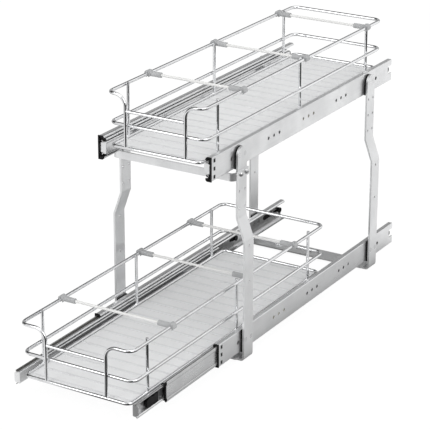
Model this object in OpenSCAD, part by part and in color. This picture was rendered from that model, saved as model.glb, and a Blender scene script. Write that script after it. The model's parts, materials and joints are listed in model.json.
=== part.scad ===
// Two-tier pull-out wire basket unit for a narrow base cabinet.
// X points to the right, Y to the back and Z up. The origin lies midway between
// the floor screw holes of the two straps, at the height of the floor.
// "Depths" are measured backwards from the front ends of the fixed slide members.

/* [Whole unit] */
// Length of the fixed slide members, front to back
slide_len = 560; // [450:10:680]
// Half the width over the lower pair of slides
lower_half_w = 107; // [95:0.5:160]
// Half the width over the upper pair of slides
upper_half_w = 94.5; // [85:0.5:150]
// Height of the lower slides' centre line
lower_slide_z = 32; // [28:1:60]
// Height of the upper slides' centre line
upper_slide_z = 313; // [260:1:420]
// How far the lower basket stands drawn out
lower_pull = 205; // [0:5:400]
// How far the upper basket stands drawn out
upper_pull = 0; // [0:5:400]

/* [Slides] */
// Height of the slides
slide_h = 35; // [32:0.5:50]
// Thickness of a closed slide
slide_t = 12.7; // [12.5:0.1:18]
// Sheet thickness of the outer member
outer_sheet = 1.2; // [1:0.1:1.5]
// Sheet thickness of the middle member
middle_sheet = 1.1; // [1:0.1:1.3]
// Sheet thickness of the inner member
inner_sheet = 1.2; // [1:0.1:1.5]
// Gap between the webs of the outer and the middle member
web_gap = 1.1; // [1:0.1:2]
// Gap between the middle member's hooks and the inner member's web
hook_gap = 0.8; // [0.6:0.1:2]
// Depth of the middle member's front end when closed
middle_front = 4.5; // [4:0.5:10]
// How much the middle member's back end falls short of the outer's
middle_short = 24; // [20:1:60]
// How much the inner member's back end falls short of the outer's
inner_short = 20; // [16:1:60]
// Share of the basket's travel that the middle member makes
middle_share = 0.68; // [0.5:0.01:0.68]
// Depth of the recess in the outside of the middle member's web
web_recess = 1; // [0.5:0.1:1]
// Half the height of that recess
recess_half_h = 9.5; // [8:0.5:10]
// Outside radius of the bends between the outer member's web and flanges
outer_bend_r = 1.6; // [1.5:0.1:1.8]
// Outside radius of the bends between the inner member's web and flanges
inner_bend_r = 1.6; // [1.5:0.1:2.5]
// How near the inner member's folded front end comes to the slide's outer face
front_fold_u = 3.6; // [3.5:0.1:6]
// Radius of the folded front end's corners
front_fold_round = 2; // [0.5:0.5:3]

/* [Balls and cages] */
// Diameter of the outer balls
outer_ball_d = 3.2; // [3:0.1:3.6]
// Diameter of the inner balls
inner_ball_d = 2.6; // [2.4:0.1:3]
// Radial play of the balls in their races
race_clear = 0.1; // [0.05:0.05:0.15]
// Play of the balls in their cage pockets
pocket_clear = 0.12; // [0.1:0.01:0.2]
// Sheet thickness of the cages
cage_t = 0.5; // [0.4:0.1:0.5]
// Gap between a cage's web and the member outside it
cage_gap = 0.3; // [0.2:0.05:0.3]
// Spacing of the balls along a row
ball_pitch = 20; // [8:1:30]
// Length of the outer cages
outer_cage_len = 120; // [60:10:140]
// Length of the inner cages
inner_cage_len = 160; // [60:10:200]
// How far in front of the slide's mid-length the closed cages stand
cage_lead = 9; // [0:1:20]

/* [Slide stops] */
// Thickness of the front retainers, in front of the outer members
retainer_t = 2.5; // [1.5:0.5:4]
// How far the retainers' front edge stands round the outer member's profile
retainer_rim = 0.5; // [0:0.1:1]
// Length of the retainers' tails inside the outer members
retainer_tail = 12; // [6:1:15]
// How far the retainers' middle tongues stand out in front
retainer_tongue = 6; // [3:0.5:8]
// Half the height of the retainers' middle tongues
retainer_tongue_half_h = 5.5; // [3:0.5:8]
// Length of the middle member's rear bumper
bumper_len = 24; // [20:1:40]
// Diameter of the bumper's nose and of the rear stop
bumper_d = 9; // [7:0.5:9]
// How far the bumper's nose stands behind the middle member
bumper_out = 7; // [5:0.5:8]
// Depth of the rear stop's post in front of the slide's back end
stop_inset = 11; // [10:0.5:12]
// Length of the rear stop's tongue
stop_tongue = 50; // [40:1:60]
// Length of the tongue's wide end
stop_tongue_wide = 32; // [20:1:36]
// How far the rear stop's post stands out from the outer member's web
stop_reach = 5.6; // [4:0.1:7.8]
// Depth of the release lever's front behind the inner member's front end
lever_front = 25; // [12:1:40]
// Length of the release lever
lever_len = 28; // [24:1:40]
// Half the height of the release lever
lever_half_h = 7.2; // [5:0.1:7.4]

/* [Slide holes] */
// Diameter of the large round holes in the outer member
big_hole_d = 6; // [4:0.5:7]
// Depth of the front large hole
front_hole_depth = 54; // [45:1:54]
// Distance of the rear large hole from the back end
rear_hole_inset = 55.5; // [50:0.5:60]
// Diameter of the grouped round holes
group_hole_d = 5; // [3:0.5:6]
// Distance of the outer groups' middle holes from the slide's ends
group_inset = 175; // [120:1:180]
// Spacing of the holes in a group
group_pitch = 16; // [10:1:20]

/* [Legs] */
// Width of the legs' flat bar
leg_w = 25; // [20:1:30]
// Thickness of the legs' flat bar
leg_t = 3; // [2:0.5:4]
// Depth of the front legs' front edges
front_leg_inset = 61; // [60:1:120]
// Distance of the rear legs' back edges from the slides' back ends
rear_leg_inset = 71; // [71:1:120]
// Height of the legs' tops above the upper slides' centre line
leg_rise = 14; // [10:1:17]
// Radius of the legs' top corners
leg_round = 12; // [2:0.5:12]
// Height of the upper end of the legs' sloping stretch
upper_bend_z = 222; // [200:1:230]
// Height of the lower end of the legs' sloping stretch
lower_bend_z = 187; // [100:1:195]
// Centre-line radius of the bends in the legs
leg_bend_r = 8; // [4:0.5:12]
// Centre-line radius of the bend at the foot
foot_bend_r = 4.5; // [3:0.5:8]
// Length of the foot flanges
foot_len = 60; // [45:1:75]
// Thickness of the pads between legs and slides
pad_t = 3; // [2:0.5:6]
// Diameter of the single holes in the legs
leg_hole_d = 4; // [3:0.5:5]
// Distance of the first hole of a pair from the leg's front edge
pair_inset = 5; // [4:0.5:6]
// Distance between the two holes of a pair
pair_pitch = 15; // [10:0.5:16]
// How far the first pair of holes lies below the upper slides' centre line
pair_drop = 25; // [24:0.5:30]
// Vertical spacing of the hole pairs
pair_row_pitch = 26; // [15:1:30]
// Height of the upper single hole
high_hole_z = 179; // [160:0.5:180]
// Height of the lower single hole
low_hole_z = 123.5; // [80:0.5:150]

/* [Rivets and screws] */
// Diameter of the slide rivets
rivet_d = 5; // [3:0.5:6]
// Diameter of the rivets' flush heads
rivet_head_d = 7.4; // [6.5:0.1:8]
// Depth of the rivets' flush heads
rivet_head_h = 1.1; // [0.8:0.1:1.2]
// Height of the rivets above the slides' centre line
rivet_rise = 2; // [0:0.5:4]
// Radial clearance of rivets and screws in their holes
fastener_clear = 0.05; // [0.02:0.01:0.1]
// Shank diameter of the cross bar's screws
bar_screw_d = 4; // [3:0.5:5]
// Head diameter of the cross bar's screws
bar_screw_head_d = 7.6; // [6:0.1:9]
// Head height of the cross bar's screws
bar_screw_head_h = 3.2; // [2:0.1:4]
// Shank diameter of the strap screws
strap_screw_d = 6; // [4:0.5:8]
// Head diameter of the strap screws
strap_screw_head_d = 14; // [10:0.5:16]
// Head height of the strap screws
strap_screw_head_h = 5.5; // [3:0.5:6]
// Shank diameter of the tab screws
tab_screw_d = 3.5; // [3:0.1:4]
// Head diameter of the tab screws
tab_screw_head_d = 6; // [5:0.1:6.5]
// Head height of the tab screws
tab_screw_head_h = 2; // [1:0.1:2.2]

/* [Floor straps] */
// Width of the straps, front to back
strap_w = 32; // [26:1:45]
// Thickness of the straps
strap_t = 2.5; // [1.5:0.5:4]
// How far a strap stands out in front of its legs
strap_lip = 7; // [0:1:10]
// Gap between a strap's ends and the legs
strap_end_gap = 6; // [5:0.5:12]
// Radius of a strap's corners
strap_round = 3; // [1:0.5:6]
// Diameter of the floor screw holes
floor_hole_d = 6; // [4:0.5:8]
// Distance of the strap screws from the middle
strap_screw_x = 60; // [58:1:64]

/* [Cross bar] */
// Height of the cross bar's strip
bar_h = 11.5; // [8:0.5:12]
// Thickness of the cross bar's strip
bar_t = 2.5; // [1.5:0.5:3]
// Gap between the cross bar and the upper slides
bar_gap = 2; // [1:0.5:6]
// How far the cross bar stands in front of the legs
bar_stand = 14.5; // [12:0.5:30]
// How far its tabs reach past the legs' back edges
bar_over = 2; // [0:0.5:6]
// Outer radius of its corners
bar_bend_r = 8; // [4:0.5:10]

/* [Basket wires] */
// Diameter of the rail and loop wires
rail_d = 5; // [4:0.1:6]
// Diameter of the posts
post_d = 4.5; // [3:0.1:5]
// Distance of the rails' centre line from the slides' outer faces
rail_inset = 15; // [15:0.5:20]
// Height of the base loop above the slides' centre line
base_rise = 5; // [5:0.5:10]
// Height of the middle loop above the slides' centre line
mid_rise = 37.5; // [30:0.5:45]
// Height of the short cross wire above the slides' centre line
short_rise = 60; // [50:0.5:65]
// Height of the top rail above the slides' centre line
top_rise = 83.5; // [75:0.5:110]
// Distance of the front wires behind the inner members' front ends
basket_front = 3; // [3:0.5:10]
// How far the basket's back wire stands behind the inner members
basket_over = 7; // [4:0.5:9]
// Centre-line radius of the top rail's and middle loop's corners
corner_r = 12; // [8:0.5:12]
// Centre-line radius of the base loop's corners
base_corner_r = 9; // [6:0.5:12]
// Distance of the front uprights from the middle
upright_x = 50; // [30:1:50]
// Centre-line radius of the bends from the top rail into the uprights
upright_bend_r = 17; // [8:0.5:17]
// Distance of the front posts behind the front wire
front_post = 45; // [20:1:60]
// Distance of the middle posts behind the basket's mid-length
middle_post = 12; // [0:1:30]
// Distance of the back posts before the back wire
back_post = 42; // [20:1:45]
// How far the posts stand above the top rail
post_stub = 0.5; // [0:0.1:3]
// How deep welded wires sink into each other
weld = 0.1; // [0.05:0.05:0.1]

/* [Basket floor] */
// Diameter of the floor wires
floor_wire_d = 4; // [3:0.1:5]
// Number of floor wires
floor_wires = 5; // [3:1:5]
// Distance of the end floor wires from the basket's ends
floor_wire_inset = 62; // [58:1:64]
// Thickness of the liner's plate
liner_t = 1.4; // [1:0.1:2]
// Height of the liner's ribs
liner_rib_h = 0.6; // [0.3:0.1:1]
// Width of the liner's ribs
liner_rib_w = 2.5; // [1:0.5:3]
// Spacing of the liner's ribs
liner_rib_pitch = 24.5; // [8:0.5:30]
// Gap between the liner and the base loop
liner_gap = 0.5; // [0.3:0.1:2]

/* [Dividers] */
// Diameter of the divider rods
divider_d = 4; // [3:0.1:5]
// Distance of the lower basket's first divider behind the front wire
lower_divider_1 = 101; // [60:1:150]
// Distance of its second divider behind the basket's mid-length
lower_divider_2 = 31; // [22:1:60]
// Distance of its third divider before the back wire
lower_divider_3 = 97; // [52:1:110]
// Distance of the upper basket's first divider behind the front wire
upper_divider_1 = 107; // [60:1:150]
// Distance of its second divider behind the basket's mid-length
upper_divider_2 = 20; // [20:1:60]
// Distance of its third divider before the back wire
upper_divider_3 = 51; // [50:1:110]
// Outer diameter of the clips' snap rings
clip_ring_d = 10.5; // [9:0.5:12]
// Width of the snap rings along the rail
clip_w = 9; // [6:0.5:12]
// Outer diameter of the clips' sockets
clip_socket_d = 8; // [7:0.5:9]
// How far the sockets reach inwards from the rail's centre line
clip_reach = 22; // [16:0.5:30]
// Width of the slot under a snap ring
clip_slot_w = 3.6; // [2:0.1:4]
// Distance of the rods' ends from the rail's centre line
divider_end_gap = 8; // [6:0.5:12]
// Radial clearance of clips on the rail and of rods in the sockets
clip_clear = 0.05; // [0.02:0.01:0.1]

/* [Slide tabs] */
// Distance of the front tabs behind the front wire
front_tab = 87; // [80:1:90]
// Distance of the rear tabs before the back wire
rear_tab = 97; // [90:1:100]
// Length of a tab along the slide
tab_len = 26; // [22:1:40]
// Thickness of a tab
tab_t = 1.5; // [1:0.1:2]
// How far a tab reaches below the slides' centre line
tab_drop = 7; // [6:0.5:8]
// How far the tab screws lie below the slides' centre line
tab_screw_drop = 3; // [2:0.5:3.5]
// Distance between a tab's two screws
tab_screw_pitch = 14; // [10:1:16]
// How deep the base loop is welded into the tabs
tab_weld = 0.02; // [0.01:0.01:0.05]

/* [Hidden] */

$fn = 48;
LOWER = 0;
UPPER = 1;
LEFT = -1;
RIGHT = 1;

half_w = [lower_half_w, upper_half_w];
slide_z = [lower_slide_z, upper_slide_z];
pull = [lower_pull, upper_pull];

// The slide's cross-section: u runs inwards from the outer face, v up from the centre line.
outer_race_r = outer_ball_d / 2 + race_clear;
inner_race_r = inner_ball_d / 2 + race_clear;
middle_web_u = outer_sheet + web_gap;
inner_web_u = slide_t - inner_sheet;
outer_ball_u = middle_web_u + 2 * middle_sheet + outer_race_r;
outer_ball_v = slide_h / 2 - outer_sheet - outer_race_r;
middle_flange_v = outer_ball_v - outer_race_r - middle_sheet;
inner_ball_u = inner_web_u - hook_gap - middle_sheet - inner_race_r;
inner_ball_v = middle_flange_v - inner_race_r;
inner_flange_v = inner_ball_v - inner_race_r - inner_sheet;
hem_fold = 0.41;
hem_v = outer_ball_v - outer_race_r * hem_fold;
middle_face_u = middle_web_u + web_recess;
middle_inside_u = middle_face_u + middle_sheet;
hook_end = -10;
lip_end = 170;
plastic_gap = 0.4;
slip = 0.3;
cut = 1;
dome_rim_share = 0.3;
cap_u = inner_ball_u - inner_race_r - inner_sheet - plastic_gap;

// Depths along a closed slide.
middle_len = slide_len - middle_front - middle_short;
inner_len = slide_len - inner_short;
group_depths = [group_inset, slide_len / 2, slide_len - group_inset];
lever_pin_depth = lever_front + lever_half_h;
lever_pin_d = 4;
stop_v = 2;
cage_mid = slide_len / 2 - cage_lead;
outer_arm_inset = 0.55;
inner_arm_inset = 0.45;
slot_depth = 7;
slot_size = [3, 4.5];
slot_pitch = 12;
notch_len = 12.5;
notch_low = 4.5;
notch_high = 8.5;

// Legs, pads and straps.
front_leg_depth = front_leg_inset;
rear_leg_depth = slide_len - rear_leg_inset - leg_w;
leg_depths = [front_leg_depth, rear_leg_depth];
leg_top_z = upper_slide_z + leg_rise;
leg_top_round = min(leg_round, leg_w / 2 - 0.5);
leg_inner_x = [lower_half_w + pad_t, upper_half_w + pad_t];
pair_offsets = [pair_inset, pair_inset + pair_pitch];
single_hole_heights = [low_hole_z, high_hole_z];
bar_screw_z = upper_slide_z - pair_drop;
strap_half_len = leg_inner_x[LOWER] - strap_end_gap;
strap_z = leg_t;
strap_middle = strap_w / 2 - strap_lip;
origin_depth = (front_leg_depth + rear_leg_depth) / 2 + strap_middle;
bar_top_z = upper_slide_z - slide_h / 2 - bar_gap;

// Baskets.
rail_x = [for (tier = [LOWER, UPPER]) half_w[tier] - rail_inset];
post_x = [for (tier = [LOWER, UPPER]) rail_x[tier] - (rail_d + post_d) / 2 + weld];
wire_step = (rail_d + post_d) / 2 - weld;
basket_back = inner_len + basket_over;
basket_len = basket_back - basket_front;
post_places = [front_post, basket_len / 2 + middle_post, basket_len - back_post];
floor_wire_pitch = (basket_len - 2 * floor_wire_inset) / (floor_wires - 1);
floor_wire_places = [for (i = [0 : floor_wires - 1]) floor_wire_inset + i * floor_wire_pitch];
tab_places = [front_tab, basket_len - rear_tab];
divider_places = [
    [lower_divider_1, basket_len / 2 + lower_divider_2, basket_len - lower_divider_3],
    [upper_divider_1, basket_len / 2 + upper_divider_2, basket_len - upper_divider_3]
];
floor_wire_rise = base_rise - (rail_d + floor_wire_d) / 2 + weld;
liner_rise = floor_wire_rise + floor_wire_d / 2;

function row_y(depth) = depth - origin_depth;
function drawn(tier) = -pull[tier];
function unit(v) = v / norm(v);
function turn_angle(a, b) = acos(unit(a) * unit(b));

// ---------------------------------------------------------------- helpers

// A piece modelled on the right, or its mirror image on the left.
module on_side(side) {
    if (side == RIGHT) children();
    else mirror([1, 0, 0]) children();
}

module both_sides() {
    on_side(RIGHT) children();
    on_side(LEFT) children();
}

// The upper edge of a slide's cross-section and its mirror image below.
module both_edges() {
    children();
    mirror([0, 1]) children();
}

// Extrudes a slide section, drawn in u and v, backwards along the right-hand slide.
module along_slide(tier, depth, length) {
    translate([half_w[tier], row_y(depth) + length, slide_z[tier]])
        rotate([90, 0, 0])
            linear_extrude(length)
                mirror([1, 0])
                    children();
}

// Extrudes a section drawn in X and Z backwards.
module along_y(depth, length) {
    translate([0, row_y(depth) + length, 0])
        rotate([90, 0, 0])
            linear_extrude(length)
                children();
}

// Extrudes a side view, drawn in depth and Z, to the right from x.
module along_x(x, width) {
    translate([x, row_y(0), 0])
        rotate([90, 0, 90])
            linear_extrude(width)
                children();
}

// A round bar along X.
module pin_x(x_low, x_high, depth, z, d) {
    translate([x_low, row_y(depth), z])
        rotate([0, 90, 0])
            cylinder(h = x_high - x_low, d = d);
}

// A cone along X, with its wide end at x_wide.
module cone_x(x_narrow, x_wide, depth, z, d_narrow, d_wide) {
    turn = x_wide > x_narrow ? 90 : -90;
    translate([x_narrow, row_y(depth), z])
        rotate([0, turn, 0])
            cylinder(h = abs(x_wide - x_narrow), d1 = d_narrow, d2 = d_wide);
}

// A band of an annulus, in the plane, from angle a0 to a1.
module ring_sector(centre, r, t, a0, a1) {
    reach = 4 * (r + t);
    angles = [a0, (a0 + a1) / 2, a1];
    translate(centre)
        intersection() {
            difference() {
                circle(r + t);
                circle(r);
            }
            polygon(concat([[0, 0]], [for (a = angles) reach * [cos(a), sin(a)]]));
        }
}

// A flat strip of thickness t bent along a path in the plane.
module strip(path, radii, t) {
    last = len(path) - 1;
    cuts = [for (i = [0 : last]) i == 0 || i == last ? 0
        : radii[i - 1] * tan(turn_angle(path[i] - path[i - 1], path[i + 1] - path[i]) / 2)];
    for (i = [0 : last - 1]) {
        run = path[i + 1] - path[i];
        translate(path[i] + cuts[i] * unit(run))
            rotate(atan2(run.y, run.x))
                translate([0, -t / 2])
                    square([norm(run) - cuts[i] - cuts[i + 1], t]);
    }
    for (i = [1 : last - 1]) {
        before = unit(path[i] - path[i - 1]);
        after = unit(path[i + 1] - path[i]);
        side = sign(before.x * after.y - before.y * after.x);
        sweep = turn_angle(before, after);
        centre = path[i] - cuts[i] * before + side * radii[i - 1] * [-before.y, before.x];
        start = atan2(before.y, before.x) - side * 90;
        ring_sector(centre, radii[i - 1] - t / 2, t,
            side > 0 ? start : start - sweep, side > 0 ? start + sweep : start);
    }
}

// A straight round rod between two points.
module rod(from, to, d) {
    run = to - from;
    translate(from)
        rotate([0, acos(run.z / norm(run)), atan2(run.y, run.x)])
            cylinder(h = norm(run), d = d);
}

// A round wire bent along a path in space.
module wire(path, radii, d) {
    last = len(path) - 1;
    cuts = [for (i = [0 : last]) i == 0 || i == last ? 0
        : radii[i - 1] * tan(turn_angle(path[i] - path[i - 1], path[i + 1] - path[i]) / 2)];
    for (i = [0 : last - 1]) {
        way = unit(path[i + 1] - path[i]);
        rod(path[i] + cuts[i] * way, path[i + 1] - cuts[i + 1] * way, d);
    }
    for (i = [1 : last - 1]) {
        before = unit(path[i] - path[i - 1]);
        after = unit(path[i + 1] - path[i]);
        inward = unit(after - (after * before) * before);
        centre = path[i] - cuts[i] * before + radii[i - 1] * inward;
        axis = cross(-inward, before);
        multmatrix([
            [-inward.x, before.x, axis.x, centre.x],
            [-inward.y, before.y, axis.y, centre.y],
            [-inward.z, before.z, axis.z, centre.z],
            [0, 0, 0, 1]
        ])
            rotate_extrude(angle = turn_angle(before, after))
                translate([radii[i - 1], 0])
                    circle(d = d);
    }
}

// A level loop of wire with round corners, butt-welded in the middle of its back.
module wire_loop(x, front, back, z, r, d) {
    wire([[0, back, z], [x, back, z], [x, front, z], [-x, front, z], [-x, back, z], [0, back, z]],
        [r, r, r, r], d);
}

// A low domed screw head, standing on its base.
module dome_head(d, h) {
    rim = h * dome_rim_share;
    crown = h - rim;
    dome_r = (d * d / 4 + crown * crown) / (2 * crown);
    cylinder(h = rim, d = d);
    translate([0, 0, rim])
        intersection() {
            translate([0, 0, crown - dome_r])
                sphere(dome_r);
            cylinder(h = crown, d = d);
        }
}

// ---------------------------------------------------------------- slide sections

module outer_section() {
    translate([0, outer_bend_r - slide_h / 2])
        square([outer_sheet, slide_h - 2 * outer_bend_r]);
    both_edges() {
        ring_sector([outer_bend_r, slide_h / 2 - outer_bend_r], outer_bend_r - outer_sheet,
            outer_sheet, 90, 180);
        translate([outer_bend_r, slide_h / 2 - outer_sheet])
            square([outer_ball_u - outer_bend_r, outer_sheet]);
        ring_sector([outer_ball_u, outer_ball_v], outer_race_r, outer_sheet, hook_end, 90);
    }
}

// The web is set back between two ridges, which lead into the ball races.
module middle_section() {
    hem = [middle_web_u + middle_sheet, hem_v];
    ridge_v = recess_half_h + web_recess;
    slant = middle_sheet * tan(22.5);
    both_edges() {
        polygon([
            [middle_face_u, 0],
            [middle_face_u, recess_half_h],
            [middle_web_u, ridge_v],
            [middle_web_u, hem_v],
            [middle_web_u + middle_sheet, hem_v],
            [middle_web_u + middle_sheet, ridge_v + slant],
            [middle_inside_u, recess_half_h + slant],
            [middle_inside_u, 0]
        ]);
        intersection() {
            translate(hem) circle(middle_sheet);
            translate([middle_web_u, hem_v]) square(2 * middle_sheet);
        }
        ring_sector([outer_ball_u, outer_ball_v], outer_race_r, middle_sheet, 190, 270);
        translate([outer_ball_u, middle_flange_v])
            square([inner_ball_u - outer_ball_u, middle_sheet]);
        ring_sector([inner_ball_u, inner_ball_v], inner_race_r, middle_sheet, hook_end, 90);
    }
}

module inner_section() {
    edge_v = inner_flange_v + inner_sheet;
    translate([inner_web_u, inner_bend_r - edge_v])
        square([inner_sheet, 2 * (edge_v - inner_bend_r)]);
    both_edges() {
        ring_sector([slide_t - inner_bend_r, edge_v - inner_bend_r], inner_bend_r - inner_sheet,
            inner_sheet, 0, 90);
        translate([inner_ball_u, inner_flange_v])
            square([slide_t - inner_bend_r - inner_ball_u, inner_sheet]);
        ring_sector([inner_ball_u, inner_ball_v], inner_race_r, inner_sheet, lip_end, 270);
    }
}

// The front end of the inner member's web, folded over towards the slide's outer face.
module front_fold_section() {
    half_h = inner_flange_v - slip;
    translate([front_fold_u + front_fold_round, -half_h])
        square([inner_web_u - front_fold_u - front_fold_round, 2 * half_h]);
    translate([front_fold_u, front_fold_round - half_h])
        square([front_fold_round, 2 * (half_h - front_fold_round)]);
    both_edges()
        translate([front_fold_u + front_fold_round, half_h - front_fold_round])
            circle(front_fold_round);
}

// ---------------------------------------------------------------- frame

// The flush rivet through leg, pad and slide web. grow is the clearance all round.
module slide_rivet(tier, depth, grow) {
    web_x = half_w[tier] - outer_sheet;
    leg_x = leg_inner_x[tier] + leg_t;
    z = slide_z[tier] + rivet_rise;
    d = rivet_d + 2 * grow;
    head_d = rivet_head_d + 2 * grow;
    pin_x(web_x, leg_x, depth, z, d);
    cone_x(web_x + rivet_head_h, web_x, depth, z, d, head_d);
    cone_x(leg_x - rivet_head_h, leg_x, depth, z, d, head_d);
}

module slide_rivet_set(tier, leg_depth, grow) {
    for (offset = pair_offsets)
        slide_rivet(tier, leg_depth + offset, grow);
}

module leg_section() {
    low_x = leg_inner_x[LOWER] + leg_t / 2;
    up_x = leg_inner_x[UPPER] + leg_t / 2;
    strip([
        [low_x + leg_t / 2 - foot_len, leg_t / 2],
        [low_x, leg_t / 2],
        [low_x, lower_bend_z],
        [up_x, upper_bend_z],
        [up_x, leg_top_z]
    ], [foot_bend_r, leg_bend_r, leg_bend_r], leg_t);
}

module leg_side_view(leg_depth) {
    translate([leg_depth, 0]) {
        square([leg_w, leg_top_z - leg_top_round]);
        translate([leg_top_round, 0])
            square([leg_w - 2 * leg_top_round, leg_top_z]);
        for (y = [leg_top_round, leg_w - leg_top_round])
            translate([y, leg_top_z - leg_top_round])
                circle(leg_top_round);
    }
}

module leg(side, leg_depth) {
    leg_reach = max(leg_inner_x[LOWER], leg_inner_x[UPPER]) + 2 * leg_t;
    color([0.80, 0.81, 0.82]) on_side(side) difference() {
        intersection() {
            along_y(leg_depth, leg_w) leg_section();
            along_x(0, leg_reach) leg_side_view(leg_depth);
        }
        for (row = [0 : 2], offset = pair_offsets) {
            z = bar_screw_z - row * pair_row_pitch;
            pin_x(0, leg_reach, leg_depth + offset, z, bar_screw_d + 2 * fastener_clear);
        }
        for (z = single_hole_heights)
            pin_x(0, leg_reach, leg_depth + leg_w / 2, z, leg_hole_d);
        for (tier = [LOWER, UPPER])
            slide_rivet_set(tier, leg_depth, fastener_clear);
        translate([strap_screw_x, row_y(leg_depth + strap_middle), -cut])
            cylinder(h = leg_t + 2 * cut, d = strap_screw_d + 2 * fastener_clear);
    }
}

module leg_pads() {
    color([0.07, 0.07, 0.08])
        for (tier = [LOWER, UPPER], leg_depth = leg_depths)
            both_sides() difference() {
                intersection() {
                    translate([half_w[tier], row_y(leg_depth), slide_z[tier] - slide_h / 2])
                        cube([pad_t, leg_w, slide_h]);
                    along_x(0, 2 * half_w[tier]) leg_side_view(leg_depth);
                }
                slide_rivet_set(tier, leg_depth, fastener_clear);
            }
}

module slide_rivets() {
    color([0.72, 0.73, 0.74])
        for (tier = [LOWER, UPPER], leg_depth = leg_depths)
            both_sides() slide_rivet_set(tier, leg_depth, 0);
}

module floor_strap(leg_depth) {
    length = 2 * (strap_half_len - strap_round);
    color([0.70, 0.70, 0.71])
        translate([0, row_y(leg_depth + strap_middle), strap_z])
            linear_extrude(strap_t) difference() {
                union() {
                    square([length, strap_w], center = true);
                    square([2 * strap_half_len, strap_w - 2 * strap_round], center = true);
                    for (x = [-1, 1], y = [-1, 1])
                        translate([x * length / 2, y * (strap_w / 2 - strap_round)])
                            circle(strap_round);
                }
                circle(d = floor_hole_d);
                for (x = [-1, 1])
                    translate([x * strap_screw_x, 0])
                        circle(d = strap_screw_d + 2 * fastener_clear);
            }
}

module strap_screws() {
    tip_z = 0.5;
    color([0.55, 0.55, 0.57])
        for (leg_depth = leg_depths, x = [-1, 1] * strap_screw_x)
            translate([x, row_y(leg_depth + strap_middle), 0]) {
                translate([0, 0, strap_z + strap_t])
                    dome_head(strap_screw_head_d, strap_screw_head_h);
                translate([0, 0, tip_z])
                    cylinder(h = strap_z + strap_t - tip_z, d = strap_screw_d);
            }
}

module bar_screw_shank(offset, d) {
    tip = 1;
    pin_x(leg_inner_x[UPPER] - tip, leg_inner_x[UPPER] + leg_t + bar_t,
        front_leg_depth + offset, bar_screw_z, d);
}

module front_cross_bar() {
    tab_x = leg_inner_x[UPPER] + leg_t + bar_t / 2;
    front_y = row_y(front_leg_depth - bar_stand) + bar_t / 2;
    back_y = row_y(front_leg_depth + leg_w + bar_over);
    bend_r = bar_bend_r - bar_t / 2;
    color([0.78, 0.79, 0.80]) difference() {
        translate([0, 0, bar_top_z - bar_h])
            linear_extrude(bar_h)
                strip([[-tab_x, back_y], [-tab_x, front_y], [tab_x, front_y], [tab_x, back_y]],
                    [bend_r, bend_r], bar_t);
        both_sides()
            for (offset = pair_offsets)
                bar_screw_shank(offset, bar_screw_d + 2 * fastener_clear);
    }
}

module cross_bar_screws() {
    head_x = leg_inner_x[UPPER] + leg_t + bar_t;
    color([0.60, 0.61, 0.63])
        both_sides() for (offset = pair_offsets) {
            bar_screw_shank(offset, bar_screw_d);
            translate([head_x, row_y(front_leg_depth + offset), bar_screw_z])
                rotate([0, 90, 0])
                    dome_head(bar_screw_head_d, bar_screw_head_h);
        }
}

// ---------------------------------------------------------------- slides

module outer_member(tier, side) {
    face_x = half_w[tier];
    web_x = face_x - outer_sheet;
    z = slide_z[tier];
    color([0.80, 0.81, 0.82]) on_side(side) difference() {
        along_slide(tier, 0, slide_len) outer_section();
        for (row = [-1, 0, 1])
            translate([face_x, row_y(slot_depth), z + row * slot_pitch])
                cube([3 * outer_sheet, slot_size.x, slot_size.y], center = true);
        for (depth = [front_hole_depth, slide_len - rear_hole_inset])
            pin_x(web_x - cut, face_x + cut, depth, z, big_hole_d);
        for (depth = group_depths, step = [-1, 0, 1])
            pin_x(web_x - cut, face_x + cut, depth + step * group_pitch, z, group_hole_d);
        translate([web_x - outer_sheet, row_y(slide_len - notch_len), z - notch_low])
            cube([3 * outer_sheet, 2 * notch_len, notch_low + notch_high]);
        for (leg_depth = leg_depths)
            slide_rivet_set(tier, leg_depth, fastener_clear);
    }
}

module outer_front_retainers() {
    nub_r = outer_race_r - slip;
    pad_u = middle_web_u - slip;
    tongue_u = middle_face_u - slip;
    rim_r = outer_race_r + outer_sheet + retainer_rim;
    color([0.06, 0.06, 0.07])
        for (tier = [LOWER, UPPER]) both_sides() {
            along_slide(tier, -retainer_t, retainer_t) {
                translate([0, -slide_h / 2])
                    square([pad_u, slide_h]);
                both_edges() {
                    translate([0, slide_h / 2 - outer_sheet])
                        square([outer_ball_u, outer_sheet + retainer_rim]);
                    intersection() {
                        translate([outer_ball_u, outer_ball_v]) circle(rim_r);
                        translate([outer_ball_u, outer_ball_v - nub_r]) square(2 * rim_r);
                    }
                    translate([outer_ball_u, outer_ball_v])
                        circle(nub_r);
                }
            }
            along_slide(tier, 0, retainer_tail)
                both_edges()
                    translate([outer_ball_u, outer_ball_v])
                        circle(nub_r);
            along_slide(tier, -retainer_t - retainer_tongue,
                retainer_tail + retainer_t + retainer_tongue)
                translate([outer_sheet, -retainer_tongue_half_h])
                    square([tongue_u - outer_sheet, 2 * retainer_tongue_half_h]);
        }
}

module outer_rear_stops() {
    stop_depth = slide_len - stop_inset;
    tongue_front = stop_depth - stop_tongue;
    tongue_h = 8;
    neck_h = 3;
    tongue_t = web_gap - plastic_gap;
    color([0.06, 0.06, 0.07])
        for (tier = [LOWER, UPPER]) both_sides() {
            web_x = half_w[tier] - outer_sheet;
            z = slide_z[tier] + stop_v;
            pin_x(web_x - stop_reach, web_x, stop_depth, z, bumper_d);
            along_x(web_x - tongue_t, tongue_t) {
                translate([tongue_front + tongue_h / 2, z - tongue_h / 2])
                    square([stop_tongue_wide - tongue_h, tongue_h]);
                for (end = [tongue_h / 2, stop_tongue_wide - tongue_h / 2])
                    translate([tongue_front + end, z])
                        circle(d = tongue_h);
                translate([tongue_front + stop_tongue_wide / 2, z - neck_h / 2])
                    square([stop_tongue - stop_tongue_wide / 2, neck_h]);
            }
        }
}

module middle_member(tier, side) {
    color([0.76, 0.77, 0.79]) on_side(side)
        along_slide(tier, middle_front + middle_share * drawn(tier), middle_len)
            middle_section();
}

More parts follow.
